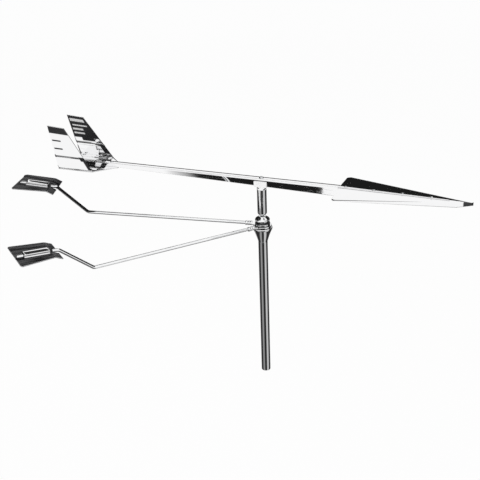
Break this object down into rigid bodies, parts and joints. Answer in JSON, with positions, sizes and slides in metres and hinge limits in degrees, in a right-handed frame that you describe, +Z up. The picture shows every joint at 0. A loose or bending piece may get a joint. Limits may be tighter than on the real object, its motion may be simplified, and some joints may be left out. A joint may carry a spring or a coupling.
{
  "type": "masthead wind indicator",
  "caption": "Masthead wind vane: a balanced metal arrow with a twin-finned tail on a needle bearing, above two cranked reference arms on a mast rod.",
  "frame": {"origin": "centre of the flat foot of the mast rod, on the rod's axis", "axes": "+Z up the mast rod, +X towards the arrow's nose, +Y to port"},
  "size_m": [0.4566, 0.2434, 0.2614],
  "materials": {
    "chrome_plate": "mirror-bright chromium plate on turned steel and on the bent rods",
    "bright_sheet": "polished stainless sheet with very fine rolling lines",
    "polished_steel": "fine polished stainless steel",
    "dark_enamel": "glossy black enamel on sheet",
    "nylon": "natural nylon",
    "brass": "turned brass",
    "weight_metal": "dull cast balance weight"
  },
  "bodies": {
    "mast": {"mast_rod": "chrome_plate", "hub_cone": "chrome_plate", "spindle": "polished_steel", "friction_washers": "nylon", "dome_nut": "chrome_plate", "cone_set_screw": "polished_steel"},
    "port_arm": {"port_arm_eye": "chrome_plate", "port_arm_rod": "chrome_plate", "port_tab": "dark_enamel", "port_tab_strap": "bright_sheet"},
    "starboard_arm": {"starboard_arm_eye": "chrome_plate", "starboard_arm_rod": "chrome_plate", "starboard_tab": "dark_enamel", "starboard_tab_strap": "bright_sheet"},
    "vane": {"vane_beam": "bright_sheet", "arrowhead": "bright_sheet", "nose_weight": "weight_metal", "head_rivets": "polished_steel", "tail_plate": "bright_sheet", "tail_rivets": "polished_steel", "port_fin": "bright_sheet", "starboard_fin": "bright_sheet", "fin_rivets": "polished_steel", "pivot_saddle": "bright_sheet", "saddle_screw": "polished_steel", "bearing_sleeve": "chrome_plate", "jewel_cup": "brass", "guide_bush": "nylon"}
  },
  "joints": [
    {"name": "vane_spin", "type": "hinge", "parent": "mast", "child": "vane", "pos_m": [0, 0, 0.2], "axis": [0, 0, 1], "continuous": true},
    {"name": "port_arm_swing", "type": "hinge", "parent": "mast", "child": "port_arm", "pos_m": [0, 0, 0.169], "axis": [0, 0, 1], "range_deg": [-40, 6]},
    {"name": "starboard_arm_swing", "type": "hinge", "parent": "mast", "child": "starboard_arm", "pos_m": [0, 0, 0.1669], "axis": [0, 0, 1], "range_deg": [-6, 40]}
  ]
}
